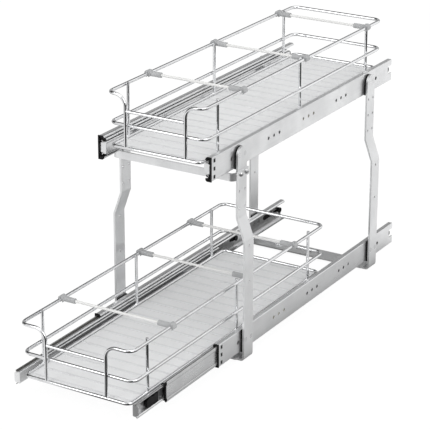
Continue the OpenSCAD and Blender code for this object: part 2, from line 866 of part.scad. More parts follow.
module middle_caps(tier) {
    front = middle_front + middle_share * drawn(tier);
    nose = front + middle_len + bumper_out - bumper_d / 2;
    plate_t = 2.5;
    tail_len = 16;
    tail_half_h = 8;
    nose_u = 8;
    neck_h = 4;
    cap_x = half_w[tier] - cap_u;
    web_x = half_w[tier] - middle_inside_u;
    z = slide_z[tier];
    color([0.06, 0.06, 0.07]) both_sides() {
        along_slide(tier, front - plate_t, plate_t) {
            middle_section();
            translate([middle_face_u, -middle_flange_v - middle_sheet])
                square([cap_u - middle_face_u, 2 * (middle_flange_v + middle_sheet)]);
        }
        along_slide(tier, front - plate_t, plate_t + tail_len)
            translate([middle_inside_u, -tail_half_h])
                square([cap_u - middle_inside_u, 2 * tail_half_h]);
        along_x(cap_x, web_x - cap_x)
            translate([nose, z + stop_v]) {
                circle(d = bumper_d);
                polygon([
                    [0, -bumper_d / 2],
                    [bumper_d - bumper_len, -neck_h / 2],
                    [bumper_d - bumper_len, neck_h / 2],
                    [0, bumper_d / 2]
                ]);
                translate([bumper_d - bumper_len, 0]) circle(d = neck_h);
            }
        pin_x(half_w[tier] - nose_u, web_x, nose, z + stop_v, bumper_d);
    }
}

// A folded sheet that holds a row of balls above and one below, drawn in u and v.
module cage_section(web_u, flange_v, ball_u, ball_v, inner_arm, outer_arm) {
    slant = [1, -1] / sqrt(2);
    centre = [ball_u, ball_v];
    translate([web_u, -flange_v - cage_t])
        square([cage_t, 2 * (flange_v + cage_t)]);
    both_edges() {
        translate([web_u, flange_v])
            square([ball_u - inner_arm - web_u, cage_t]);
        translate(centre)
            rotate(-45)
                translate([-inner_arm * sqrt(2), -cage_t / 2])
                    square([inner_arm * sqrt(2) + outer_arm, cage_t]);
    }
}

// The places of the balls along a cage, from its middle.
function ball_steps(cage_len) =
    let (n = floor((cage_len - ball_pitch) / ball_pitch) + 1)
    [for (i = [0 : n - 1]) (i - (n - 1) / 2) * ball_pitch];

module ball_set(tier, depth, cage_len, ball_u, ball_v, r) {
    for (step = ball_steps(cage_len), row = [-1, 1])
        translate([half_w[tier] - ball_u, row_y(depth + step), slide_z[tier] + row * ball_v])
            sphere(r);
}

function outer_cage_depth(tier) = cage_mid + middle_share / 2 * drawn(tier);
function inner_cage_depth(tier) = cage_mid + (1 + middle_share) / 2 * drawn(tier);

module outer_cages(tier) {
    arm = outer_ball_d / 2 - outer_arm_inset;
    color([0.72, 0.68, 0.52]) both_sides() difference() {
        along_slide(tier, outer_cage_depth(tier) - outer_cage_len / 2, outer_cage_len)
            cage_section(outer_sheet + cage_gap, outer_ball_v + arm, outer_ball_u, outer_ball_v,
                arm, outer_race_r);
        ball_set(tier, outer_cage_depth(tier), outer_cage_len, outer_ball_u, outer_ball_v,
            outer_ball_d / 2 + pocket_clear);
    }
}

module outer_balls(tier) {
    color([0.85, 0.86, 0.88]) both_sides()
        ball_set(tier, outer_cage_depth(tier), outer_cage_len, outer_ball_u, outer_ball_v,
            outer_ball_d / 2);
}

module inner_cages(tier) {
    arm = inner_ball_d / 2 - inner_arm_inset;
    web_u = middle_inside_u + cage_gap;
    color([0.72, 0.68, 0.52]) both_sides() difference() {
        along_slide(tier, inner_cage_depth(tier) - inner_cage_len / 2, inner_cage_len)
            cage_section(web_u, inner_ball_v + arm, inner_ball_u, inner_ball_v,
                arm, inner_race_r);
        ball_set(tier, inner_cage_depth(tier), inner_cage_len, inner_ball_u, inner_ball_v,
            inner_ball_d / 2 + pocket_clear);
    }
}

module inner_balls(tier) {
    color([0.85, 0.86, 0.88]) both_sides()
        ball_set(tier, inner_cage_depth(tier), inner_cage_len, inner_ball_u, inner_ball_v,
            inner_ball_d / 2);
}

module tab_screw_shank(tier, place, d) {
    web_x = half_w[tier] - inner_web_u;
    for (step = [-1, 1] * tab_screw_pitch / 2)
        pin_x(half_w[tier] - slide_t - tab_t, web_x + 2,
            basket_front + drawn(tier) + place + step, slide_z[tier] - tab_screw_drop, d);
}

module lever_pin(tier, d, reach) {
    pin_x(half_w[tier] - slide_t - reach, half_w[tier] - inner_web_u + reach,
        drawn(tier) + lever_pin_depth, slide_z[tier], d);
}

module inner_member(tier, side) {
    hole_d = 5;
    hole_inset = 120;
    color([0.78, 0.79, 0.81]) on_side(side) difference() {
        union() {
            along_slide(tier, drawn(tier), inner_len) inner_section();
            along_slide(tier, drawn(tier), inner_sheet) front_fold_section();
        }
        for (place = tab_places)
            tab_screw_shank(tier, place, tab_screw_d + 2 * fastener_clear);
        lever_pin(tier, lever_pin_d + 2 * fastener_clear, cut);
        for (depth = [hole_inset, inner_len - hole_inset])
            pin_x(half_w[tier] - slide_t - cut, half_w[tier] - inner_web_u + cut,
                drawn(tier) + depth, slide_z[tier], hole_d);
    }
}

// A block that fills the inner member's channel, with a waist behind its nose and a blunt tail.
module release_levers(tier) {
    lever_t = inner_web_u - cap_u - 2 * slip;
    nose_half_h = 4;
    nose_len = 6;
    waist_half_h = 5.6;
    waist_front = 13;
    waist_back = 17;
    front = drawn(tier) + lever_front;
    edge = [
        [0, nose_half_h],
        [nose_len, lever_half_h],
        [waist_front, lever_half_h],
        [waist_front + 1, waist_half_h],
        [waist_back, waist_half_h],
        [waist_back + 1, lever_half_h],
        [lever_len, lever_half_h]
    ];
    last = len(edge) - 1;
    color([0.06, 0.06, 0.07]) both_sides() {
        along_x(half_w[tier] - inner_web_u, lever_t)
            translate([front, slide_z[tier]])
                polygon(concat(edge, [for (i = [0 : last]) [edge[last - i].x, -edge[last - i].y]]));
        lever_pin(tier, lever_pin_d, 0);
    }
}

// ---------------------------------------------------------------- baskets

// The top rail: its front dips between the two uprights, which stand on the base loop.
module top_rail(tier) {
    x = rail_x[tier];
    front = row_y(basket_front + drawn(tier));
    back = row_y(basket_back + drawn(tier));
    z = slide_z[tier] + top_rise;
    foot_z = slide_z[tier] + base_rise + rail_d / 2 - weld;
    bend = min(upright_bend_r, x - upright_x - corner_r - 0.2);
    color([0.82, 0.83, 0.85])
        wire([
            [upright_x, front, foot_z], [upright_x, front, z], [x, front, z], [x, back, z],
            [-x, back, z], [-x, front, z], [-upright_x, front, z], [-upright_x, front, foot_z]
        ], [bend, corner_r, corner_r, corner_r, corner_r, bend], rail_d);
}

module mid_loop(tier) {
    front = row_y(basket_front + drawn(tier)) + rail_d - weld;
    back = row_y(basket_back + drawn(tier));
    color([0.82, 0.83, 0.85])
        wire_loop(rail_x[tier], front, back, slide_z[tier] + mid_rise, corner_r, rail_d);
}

module base_loop(tier) {
    front = row_y(basket_front + drawn(tier));
    back = row_y(basket_back + drawn(tier)) - wire_step;
    color([0.82, 0.83, 0.85])
        wire_loop(post_x[tier], front, back, slide_z[tier] + base_rise, base_corner_r, rail_d);
}

module posts(tier) {
    foot_z = slide_z[tier] + base_rise + rail_d / 2 - weld;
    head_z = slide_z[tier] + top_rise + rail_d / 2 + post_stub;
    color([0.82, 0.83, 0.85]) both_sides()
        for (place = post_places) {
            y = row_y(basket_front + drawn(tier) + place);
            rod([post_x[tier], y, foot_z], [post_x[tier], y, head_z], post_d);
        }
}

module short_wire(tier) {
    y = row_y(basket_front + drawn(tier));
    x = upright_x - rail_d / 2 + weld;
    z = slide_z[tier] + short_rise;
    color([0.82, 0.83, 0.85])
        rod([-x, y, z], [x, y, z], post_d);
}

module floor_wires(tier) {
    x = post_x[tier];
    z = slide_z[tier] + floor_wire_rise;
    color([0.82, 0.83, 0.85])
        for (place = floor_wire_places) {
            y = row_y(basket_front + drawn(tier) + place);
            rod([-x, y, z], [x, y, z], floor_wire_d);
        }
}

module liner(tier) {
    edge = rail_d / 2 + liner_gap;
    x = post_x[tier] - edge;
    front = basket_front + drawn(tier) + edge;
    back = basket_back + drawn(tier) - wire_step - edge;
    r = base_corner_r - edge;
    z = slide_z[tier] + liner_rise;
    rib_run = back - front - 2 * liner_rib_w;
    ribs = floor(rib_run / liner_rib_pitch);
    first_rib = front + (back - front - ribs * liner_rib_pitch) / 2;
    color([0.86, 0.87, 0.86, 0.7])
        intersection() {
            along_x(-x, 2 * x) {
                translate([front, z])
                    square([back - front, liner_t]);
                for (i = [0 : ribs])
                    translate([first_rib + i * liner_rib_pitch - liner_rib_w / 2, z])
                        square([liner_rib_w, liner_t + liner_rib_h]);
            }
            translate([0, 0, z])
                linear_extrude(liner_t + liner_rib_h) {
                    translate([-x, row_y(front) + r])
                        square([2 * x, back - front - 2 * r]);
                    translate([-x + r, row_y(front)])
                        square([2 * (x - r), back - front]);
                    for (cx = [r - x, x - r], cy = [row_y(front) + r, row_y(back) - r])
                        translate([cx, cy])
                            circle(r);
                }
        }
}

module divider_rods(tier) {
    x = rail_x[tier] - divider_end_gap;
    z = slide_z[tier] + top_rise;
    color([0.84, 0.83, 0.78])
        for (place = divider_places[tier]) {
            y = row_y(basket_front + drawn(tier) + place);
            rod([-x, y, z], [x, y, z], divider_d);
        }
}

module divider_clip(tier, place) {
    x = rail_x[tier];
    depth = basket_front + drawn(tier) + place;
    z = slide_z[tier] + top_rise;
    difference() {
        union() {
            along_y(depth - clip_w / 2, clip_w)
                translate([x, z])
                    circle(d = clip_ring_d);
            pin_x(x - clip_reach, x, depth, z, clip_socket_d);
        }
        along_y(depth - clip_w, 2 * clip_w)
            translate([x, z])
                circle(d = rail_d + 2 * clip_clear);
        along_y(depth - clip_w, 2 * clip_w)
            translate([x - clip_slot_w / 2, z - clip_ring_d])
                square([clip_slot_w, clip_ring_d]);
        pin_x(x - clip_reach - 1, x - divider_end_gap + clip_clear, depth, z,
            divider_d + 2 * clip_clear);
    }
}

module divider_clips(tier) {
    color([0.42, 0.43, 0.45]) both_sides()
        for (place = divider_places[tier])
            divider_clip(tier, place);
}

module slide_tabs(tier) {
    web_x = half_w[tier] - slide_t - tab_t / 2;
    top_z = slide_z[tier] + base_rise - rail_d / 2 - tab_t / 2 + tab_weld;
    end_x = post_x[tier] - rail_d / 2 + 0.5;
    color([0.78, 0.79, 0.81]) both_sides()
        for (place = tab_places)
            difference() {
                along_y(basket_front + drawn(tier) + place - tab_len / 2, tab_len)
                    strip([[end_x, top_z], [web_x, top_z], [web_x, slide_z[tier] - tab_drop]],
                        [tab_t], tab_t);
                tab_screw_shank(tier, place, tab_screw_d + 2 * fastener_clear);
            }
}

module tab_screws(tier) {
    head_x = half_w[tier] - slide_t - tab_t;
    color([0.60, 0.61, 0.63]) both_sides()
        for (place = tab_places) {
            tab_screw_shank(tier, place, tab_screw_d);
            for (step = [-1, 1] * tab_screw_pitch / 2)
                translate([
                    head_x,
                    row_y(basket_front + drawn(tier) + place + step),
                    slide_z[tier] - tab_screw_drop
                ])
                    rotate([0, -90, 0])
                        dome_head(tab_screw_head_d, tab_screw_head_h);
        }
}

// ---------------------------------------------------------------- nodes

leg(LEFT, front_leg_depth);  // front_left_leg
leg(RIGHT, front_leg_depth);  // front_right_leg
leg(LEFT, rear_leg_depth);  // rear_left_leg
leg(RIGHT, rear_leg_depth);  // rear_right_leg
floor_strap(front_leg_depth);  // front_floor_strap
floor_strap(rear_leg_depth);  // rear_floor_strap
strap_screws();
front_cross_bar();
cross_bar_screws();
leg_pads();
slide_rivets();
outer_member(UPPER, LEFT);  // upper_left_outer_member
outer_member(UPPER, RIGHT);  // upper_right_outer_member
outer_member(LOWER, LEFT);  // lower_left_outer_member
outer_member(LOWER, RIGHT);  // lower_right_outer_member
outer_front_retainers();
outer_rear_stops();
middle_member(UPPER, LEFT);  // upper_left_middle_member
middle_member(UPPER, RIGHT);  // upper_right_middle_member
middle_caps(UPPER);  // upper_middle_caps
middle_member(LOWER, LEFT);  // lower_left_middle_member
middle_member(LOWER, RIGHT);  // lower_right_middle_member
middle_caps(LOWER);  // lower_middle_caps
outer_cages(UPPER);  // upper_outer_cages
outer_balls(UPPER);  // upper_outer_balls
inner_cages(UPPER);  // upper_inner_cages
inner_balls(UPPER);  // upper_inner_balls
outer_cages(LOWER);  // lower_outer_cages
outer_balls(LOWER);  // lower_outer_balls
inner_cages(LOWER);  // lower_inner_cages
inner_balls(LOWER);  // lower_inner_balls
inner_member(UPPER, LEFT);  // upper_left_inner_member
inner_member(UPPER, RIGHT);  // upper_right_inner_member
release_levers(UPPER);  // upper_release_levers
inner_member(LOWER, LEFT);  // lower_left_inner_member
inner_member(LOWER, RIGHT);  // lower_right_inner_member
release_levers(LOWER);  // lower_release_levers
top_rail(UPPER);  // upper_top_rail
mid_loop(UPPER);  // upper_mid_loop
base_loop(UPPER);  // upper_base_loop
posts(UPPER);  // upper_posts
short_wire(UPPER);  // upper_short_wire
floor_wires(UPPER);  // upper_floor_wires
liner(UPPER);  // upper_liner
divider_rods(UPPER);  // upper_divider_rods
divider_clips(UPPER);  // upper_divider_clips
slide_tabs(UPPER);  // upper_slide_tabs
tab_screws(UPPER);  // upper_tab_screws
top_rail(LOWER);  // lower_top_rail
mid_loop(LOWER);  // lower_mid_loop
base_loop(LOWER);  // lower_base_loop
posts(LOWER);  // lower_posts
short_wire(LOWER);  // lower_short_wire
floor_wires(LOWER);  // lower_floor_wires
liner(LOWER);  // lower_liner
divider_rods(LOWER);  // lower_divider_rods
divider_clips(LOWER);  // lower_divider_clips
slide_tabs(LOWER);  // lower_slide_tabs
tab_screws(LOWER);  // lower_tab_screws
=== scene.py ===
import json
import math

import bmesh
import bpy
from mathutils import Matrix, Vector


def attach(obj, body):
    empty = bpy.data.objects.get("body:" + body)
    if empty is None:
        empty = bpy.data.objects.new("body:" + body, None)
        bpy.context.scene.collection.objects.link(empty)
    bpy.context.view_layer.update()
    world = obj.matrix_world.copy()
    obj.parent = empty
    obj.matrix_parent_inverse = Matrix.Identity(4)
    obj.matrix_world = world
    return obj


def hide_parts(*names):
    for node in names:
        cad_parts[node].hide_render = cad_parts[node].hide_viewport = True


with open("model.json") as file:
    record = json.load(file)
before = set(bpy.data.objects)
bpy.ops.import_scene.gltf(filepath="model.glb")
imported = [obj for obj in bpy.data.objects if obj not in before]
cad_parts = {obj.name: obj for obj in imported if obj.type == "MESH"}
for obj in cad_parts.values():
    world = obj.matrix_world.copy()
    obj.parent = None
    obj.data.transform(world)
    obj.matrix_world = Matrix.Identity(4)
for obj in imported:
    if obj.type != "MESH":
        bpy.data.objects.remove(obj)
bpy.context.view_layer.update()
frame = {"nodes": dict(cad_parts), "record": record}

MM = 0.001
TIERS = ("lower", "upper")
SIDES = (-1, 1)
SHARP_EDGE = math.radians(40.0)

# Sizes in millimetres. Where an added detail meets a solid, or takes its place, they are the
# solid's own. A depth is measured backwards from the front ends of the fixed slides.

# Frame and slides: the origin's depth, how far each basket is drawn out at rest, the height of
# the slides' centre lines, and half the distance between their outer faces.
ORIGIN_DEPTH = 271.5
PULL = {"lower": 205.0, "upper": 0.0}
SLIDE_Z = {"lower": 32.0, "upper": 313.0}
HALF_W = {"lower": 107.0, "upper": 94.5}
SLIDE_T = 12.7

# A slide's section: the ball tracks, which grease and painted shade darken (distance from the outer
# face, height above the centre line, radius), and the crease lines of a middle member's web, which
# are darkened with painted shade (height, share of painted shade).
BALL_TRACKS = ((6.2, 14.6, 1.7), (8.2, 10.4, 1.4))
CREASE_SHADE = ((9.7, 0.55), (15.2, 0.35))

# Baskets: wires, and their rises above the slides' centre lines.
RAIL_IN = 15.0
RAIL_D = 5.0
POST_D = 4.5
FLOOR_WIRE_D = 4.0
WELD = 0.1
CORNER_R = 12.0
BASE_CORNER_R = 9.0
UPRIGHT_BEND_R = 17.0
FRONT_WIRE = 3.0
BACK_WIRE = 547.0
BASE_RISE = 5.0
MID_RISE = 37.5
SHORT_RISE = 60.0
TOP_RISE = 83.5
POST_STUB = 0.5
UPRIGHT_X = 50.0
POST_PLACES = (45.0, 284.0, 502.0)
FLOOR_WIRE_PLACES = (62.0, 167.0, 272.0, 377.0, 482.0)
BEAD_R = 2.1
BEAD_FLATNESS = 0.32
RING_SIDES = 24

# Liners: the first rib's place behind the front wire, and the ribs.
FIRST_RIB = 12.425
LINER_RIB_PITCH = 24.5
LINER_RIB_W = 2.5

# Front retainers: the face plate, and the lugs in the outer members' slots.
PLATE_T = 1.7
SLOT_DEPTH = 7.0
SLOT_PITCH = 12.0
LUG = (2.0, 2.96, 4.46)
LUG_HEAD = (0.35, 3.9, 5.2)

# Screws: where their heads sit, and the depths of their rows.
BAR_SCREW_X = 103.0
BAR_SCREW_Z = 288.0
BAR_SCREW_DEPTHS = (66.0, 81.0)
STRAP_SCREW_X = 60.0
STRAP_SCREW_Z = 5.5
STRAP_DEPTHS = (70.0, 473.0)
TAB_PLACES = (87.0, 447.0)
TAB_SCREW_STEP = 7.0
TAB_T = 1.5
TAB_SCREW_DROP = 3.0


# ------------------------------------------------------------------ shader maths

class Signal:
    """A number that varies over a surface: one socket, with arithmetic that adds Math nodes."""

    def __init__(self, finish, socket):
        self.finish = finish
        self.socket = socket

    def _maths(self, operation, *values):
        made = self.finish.node("ShaderNodeMath", {"operation": operation}, dict(enumerate(values)))
        return Signal(self.finish, made.outputs[0])

    def __add__(self, other):
        return self._maths("ADD", self, other)

    def __radd__(self, other):
        return self._maths("ADD", other, self)

    def __sub__(self, other):
        return self._maths("SUBTRACT", self, other)

    def __rsub__(self, other):
        return self._maths("SUBTRACT", other, self)

    def __mul__(self, other):
        return self._maths("MULTIPLY", self, other)

    def __rmul__(self, other):
        return self._maths("MULTIPLY", other, self)

    def at_most(self, other):
        return self._maths("MINIMUM", self, other)

    def at_least(self, other):
        return self._maths("MAXIMUM", self, other)

    def size(self):
        return self._maths("ABSOLUTE", self)

    def root(self):
        return self._maths("SQRT", self)

    def off_nearest(self, pitch):
        """How far a value lies from the nearest multiple of the pitch."""
        return self._maths("PINGPONG", self, pitch / 2)

    def above(self, edge):
        return self._maths("GREATER_THAN", self, edge)

    def ramp(self, low, high):
        """0 below low, 1 above high and smooth between them."""
        made = self.finish.node("ShaderNodeMapRange", {"interpolation_type": "SMOOTHSTEP"},
                                {"Value": self, "From Min": low, "From Max": high})
        return Signal(self.finish, made.outputs[0])


class Finish:
    """A node tree of a material or of the surroundings, and the one way nodes are added to it."""

    def __init__(self, owner):
        self.owner = owner
        owner.use_nodes = True
        self.tree = owner.node_tree
        self.tree.nodes.clear()

    def node(self, kind, settings=None, sockets=None):
        made = self.tree.nodes.new(kind)
        for name, value in (settings or {}).items():
            setattr(made, name, value)
        for name, value in (sockets or {}).items():
            target = made.inputs[name]
            if isinstance(value, Signal):
                value = value.socket
            if isinstance(value, bpy.types.NodeSocket):
                self.tree.links.new(value, target)
            else:
                target.default_value = value
        return made

    def place(self):
        """The Object coordinates, in metres."""
        return self.node("ShaderNodeTexCoord").outputs["Object"]

    def stretched(self, scale):
        return self.node("ShaderNodeMapping", {}, {
            "Vector": self.place(), "Scale": scale}).outputs["Vector"]

    def axis(self, name):
        """One of the Object coordinates, in metres."""
        parts = self.node("ShaderNodeSeparateXYZ", {}, {"Vector": self.place()})
        return Signal(self, parts.outputs[name])

    def noise(self, scale, detail=2.0, vector=None, roughness=0.5):
        made = self.node("ShaderNodeTexNoise", {}, {
            "Vector": vector if vector is not None else self.place(),
            "Scale": scale, "Detail": detail, "Roughness": roughness})
        return Signal(self, made.outputs["Fac"])

    def upper_tier(self):
        """1 on the upper tier and 0 on the lower one."""
        return self.axis("Z").above((SLIDE_Z["lower"] + SLIDE_Z["upper"]) / 2 * MM)

    def slide_section(self):
        """How far a point lies in from its slide's outer face, and how far off its centre line."""
        upper = self.upper_tier()
        half_w = (HALF_W["lower"] + (HALF_W["upper"] - HALF_W["lower"]) * upper) * MM
        level = (SLIDE_Z["lower"] + (SLIDE_Z["upper"] - SLIDE_Z["lower"]) * upper) * MM
        return half_w - self.axis("X").size(), (self.axis("Z") - level).size()

    def blend(self, share, first, second):
        """A colour between two colours."""
        made = self.node("ShaderNodeMix", {"data_type": "RGBA"}, {"Factor": share})
        colour_a, colour_b = [s for s in made.inputs if s.type == "RGBA"]
        for socket, value in ((colour_a, first), (colour_b, second)):
            if isinstance(value, bpy.types.NodeSocket):
                self.tree.links.new(value, socket)
            else:
                socket.default_value = (*value, 1.0)[:4]
        return [s for s in made.outputs if s.type == "RGBA"][0]

    def bump(self, height, distance, strength):
        return self.node("ShaderNodeBump", {}, {
            "Height": height, "Distance": distance, "Strength": strength}).outputs["Normal"]

    def sheet_grain(self, scale):
        """The grain along a sheet's rolling direction, and soft blotches in its zinc."""
        grain = self.noise(1.0, 4.0, self.stretched(scale), 0.6)
        return grain, self.noise(26.0, 3.0).ramp(0.35, 0.7)

    def surface(self, sockets):
        """Closes a material with a Principled shader, and returns it."""
        shader = self.node("ShaderNodeBsdfPrincipled", {}, sockets)
        self.node("ShaderNodeOutputMaterial", {}, {"Surface": shader.outputs[0]})
        return self.owner


def new_finish(name):
    return Finish(bpy.data.materials.new(name))


# ------------------------------------------------------------------ finishes

def chrome_wire():
    """Polished chrome on drawn wire: nearly a mirror, with faint waviness and a few dull spots."""
    f = new_finish("chrome_wire")
    waves = f.noise(190.0, 3.0)
    dull = f.noise(46.0, 2.0).ramp(0.52, 0.72)
    return f.surface({
        "Base Color": f.blend(dull, (0.80, 0.805, 0.815), (0.72, 0.725, 0.735)),
        "Metallic": 1.0,
        "Roughness": 0.03 + 0.05 * dull,
        "Normal": f.bump(waves, 0.00012, 0.35),
    })


def zinc(name, pale, dark, grain_scale, roughness, metallic):
    """Bright zinc plate with a grain along the sheet's rolling direction and soft blotches."""
    f = new_finish(name)
    grain, blotch = f.sheet_grain(grain_scale)
    return f.surface({
        "Base Color": f.blend(0.55 * grain + 0.45 * blotch, pale, dark),
        "Metallic": metallic,
        "Roughness": roughness + 0.10 * grain + 0.05 * blotch,
        "Normal": f.bump(grain, 0.00006, 0.25),
    })


def greased_and_shaded_slide(name, pale, dark, roughness, shaded_creases):
    """Rolled zinc-plated sheet, darkened by grease and painted shade in the ball tracks, and by
    painted shade along the web's crease lines.
    """
    f = new_finish(name)
    grain, blotch = f.sheet_grain((700.0, 14.0, 700.0))
    smear = 0.3 * MM * f.noise(1.0, 3.0, f.stretched((220.0, 40.0, 220.0)))
    inwards, aside = f.slide_section()
    grease_and_shade = 0.0
    # Painted shade: the dark film in each ball track stands for grease and for the shade in the
    # track's hollow.
    for track_u, track_v, track_r in BALL_TRACKS:
        off_u, off_v = inwards - track_u * MM, aside - track_v * MM
        off = (off_u * off_u + off_v * off_v).root()
        track_grease_and_shade = 1 - (off + smear).ramp((track_r + 0.2) * MM, (track_r + 0.9) * MM)
        grease_and_shade = track_grease_and_shade.at_least(grease_and_shade)
    # Painted shade: a dark line along each crease of the web, where shade falls.
    for crease_v, share in shaded_creases:
        line = 1 - (aside - crease_v * MM + smear).size().ramp(0.25 * MM, 1.1 * MM)
        grease_and_shade = (line * share).at_least(grease_and_shade)
    clean = f.blend(0.55 * grain + 0.45 * blotch, pale, dark)
    return f.surface({
        "Base Color": f.blend(grease_and_shade * 0.96, clean, (0.045, 0.042, 0.036)),
        "Metallic": 0.9 - 0.6 * grease_and_shade,
        "Roughness": roughness + 0.10 * grain + 0.05 * blotch + 0.12 * grease_and_shade,
        "Normal": f.bump(grain, 0.00006, 0.25),
    })


def moulded(name, colour, lighter, roughness):
    """Moulded plastic with a spark-eroded texture and slightly worn, lighter patches."""
    f = new_finish(name)
    spark = f.noise(1500.0, 2.0)
    worn = f.noise(70.0, 3.0).ramp(0.45, 0.8)
    return f.surface({
        "Base Color": f.blend(worn, colour, lighter),
        "Roughness": roughness + 0.12 * spark,
        "IOR": 1.48,
        "Specular IOR Level": 0.2,
        "Normal": f.bump(spark, 0.00005, 0.3),
    })


def liner_plastic():
    """Milky sheet with faint lengthwise flow marks, and painted shade along the ribs across it."""
    f = new_finish("liner_plastic")
    flow = f.noise(1.0, 2.0, f.stretched((90.0, 9.0, 90.0)))
    haze = f.noise(14.0, 2.0)
    first = (FRONT_WIRE + FIRST_RIB - PULL["lower"] - ORIGIN_DEPTH
             + PULL["lower"] * f.upper_tier()) * MM
    # Painted shade: a darker band along each rib across the sheet.
    rib_shade = 1 - (f.axis("Y") - first).off_nearest(LINER_RIB_PITCH * MM).ramp(
        LINER_RIB_W * 0.4 * MM, LINER_RIB_W * 1.5 * MM)
    sheet = f.blend(0.5 * flow + 0.5 * haze, (0.90, 0.905, 0.91), (0.84, 0.845, 0.85))
    return f.surface({
        "Base Color": f.blend(rib_shade * 0.35, sheet, (0.60, 0.61, 0.62)),
        "Roughness": 0.34 + 0.10 * haze,
        "IOR": 1.49,
        "Alpha": 0.90 + 0.05 * haze,
        "Normal": f.bump(flow, 0.00003, 0.2),
    })


def rod_plastic():
    """Pale drawn plastic rod with faint streaks along it."""
    f = new_finish("rod_plastic")
    streak = f.noise(1.0, 3.0, f.stretched((30.0, 500.0, 500.0)))
    return f.surface({
        "Base Color": f.blend(streak, (0.80, 0.80, 0.79), (0.70, 0.70, 0.69)),
        "Roughness": 0.26 + 0.10 * streak,
        "IOR": 1.49,
        "Subsurface Weight": 0.2,
        "Subsurface Radius": (0.003, 0.003, 0.003),
        "Normal": f.bump(streak, 0.00003, 0.3),
    })


def polished_balls():
    """Bearing steel with a thin, uneven film of oil."""
    f = new_finish("polished_balls")
    oil = f.noise(300.0, 2.0)
    return f.surface({
        "Base Color": f.blend(oil, (0.82, 0.82, 0.83), (0.70, 0.68, 0.64)),
        "Metallic": 1.0,
        "Roughness": 0.08 + 0.10 * oil,
    })


def greys(*levels):
    """Neutral metal colours, a touch cooler towards blue."""
    return [(level, level + 0.005, level + 0.01) for level in levels]


# By material slot.
FINISHES = {
    "chrome_wire": chrome_wire(),
    "zinc_legs": zinc("zinc_legs", *greys(0.82, 0.70), (900.0, 900.0, 26.0), 0.30, 0.85),
    "zinc_straps": zinc("zinc_straps", *greys(0.78, 0.66), (24.0, 900.0, 900.0), 0.32, 0.75),
    "zinc_slides": greased_and_shaded_slide("zinc_slides", *greys(0.80, 0.68), 0.24, ()),
    "screw_steel": zinc("screw_steel", *greys(0.72, 0.58), (600.0, 600.0, 600.0), 0.22, 0.95),
    "cage_steel": zinc("cage_steel", (0.72, 0.70, 0.60), (0.60, 0.58, 0.48),
                       (500.0, 20.0, 500.0), 0.28, 0.9),
    "ball_steel": polished_balls(),
    "black_plastic": moulded("black_plastic", (0.004, 0.004, 0.0045), (0.012, 0.012, 0.0125), 0.38),
    "grey_plastic": moulded("grey_plastic", *greys(0.40, 0.48), 0.38),
    "pale_rod": rod_plastic(),
    "clear_liner": liner_plastic(),
}
MIDDLE_FINISH = greased_and_shaded_slide("zinc_middle_members", *greys(0.80, 0.66), 0.22, CREASE_SHADE)

slot_of = {part["node"]: part["material_slot"] for part in frame["record"]["subparts"]}
for node, shown in frame["nodes"].items():
    finish = MIDDLE_FINISH if node.endswith("middle_member") else FINISHES[slot_of[node]]
    if not shown.material_slots:
        shown.data.materials.append(finish)
    for held in shown.material_slots:
        held.material = finish


# ------------------------------------------------------------------ pieces

def placed(name, shape):
    """A mesh, lamp or camera as an object at the scene's origin."""
    piece = bpy.data.objects.new(name, shape)
    bpy.context.scene.collection.objects.link(piece)
    return piece


def smoothed(shape):
    """Shades a mesh smooth, apart from its sharp edges."""
    for face in shape.polygons:
        face.use_smooth = True
    shape.set_sharp_from_angle(angle=SHARP_EDGE)


def as_mesh(build, name):
    """Ends a bmesh, and keeps it as a mesh."""
    shape = bpy.data.meshes.new(name)
    build.to_mesh(shape)
    build.free()
    return shape


# ------------------------------------------------------------------ repeats

def socket_id(tree, name):
    """The identifier of a tree's input, by which a modifier sets it."""
    for item in tree.interface.items_tree:
        if item.item_type == "SOCKET" and item.in_out == "INPUT" and item.name == name:
            return item.identifier
    raise KeyError(name)


def repeat_tree(name, sizes):
    """A geometry tree with its named sizes, and the helper that adds nodes to it."""
    tree = bpy.data.node_groups.new(name, "GeometryNodeTree")
    tree.interface.new_socket("Geometry", in_out="INPUT", socket_type="NodeSocketGeometry")
    for label in sizes:
        tree.interface.new_socket(label, in_out="INPUT", socket_type="NodeSocketFloat")
    tree.interface.new_socket("Finish", in_out="INPUT", socket_type="NodeSocketMaterial")
    tree.interface.new_socket("Geometry", in_out="OUTPUT", socket_type="NodeSocketGeometry")
    source = tree.nodes.new("NodeGroupInput")

    def add(kind, settings=None, sockets=None):
        made = tree.nodes.new(kind)
        for key, value in (settings or {}).items():
            setattr(made, key, value)
        for key, value in (sockets or {}).items():
            if isinstance(value, bpy.types.NodeSocket):
                tree.links.new(value, made.inputs[key])
            else:
                made.inputs[key].default_value = value
        return made

    return tree, source, add


def finish_tree(tree, source, add, instances):
    """Ends a tree: real geometry, in its finish."""
    realized = add("GeometryNodeRealizeInstances", {}, {"Geometry": instances})
    dressed = add("GeometryNodeSetMaterial", {}, {
        "Geometry": realized.outputs["Geometry"], "Material": source.outputs["Finish"]})
    out = tree.nodes.new("NodeGroupOutput")
    tree.links.new(dressed.outputs["Geometry"], out.inputs["Geometry"])


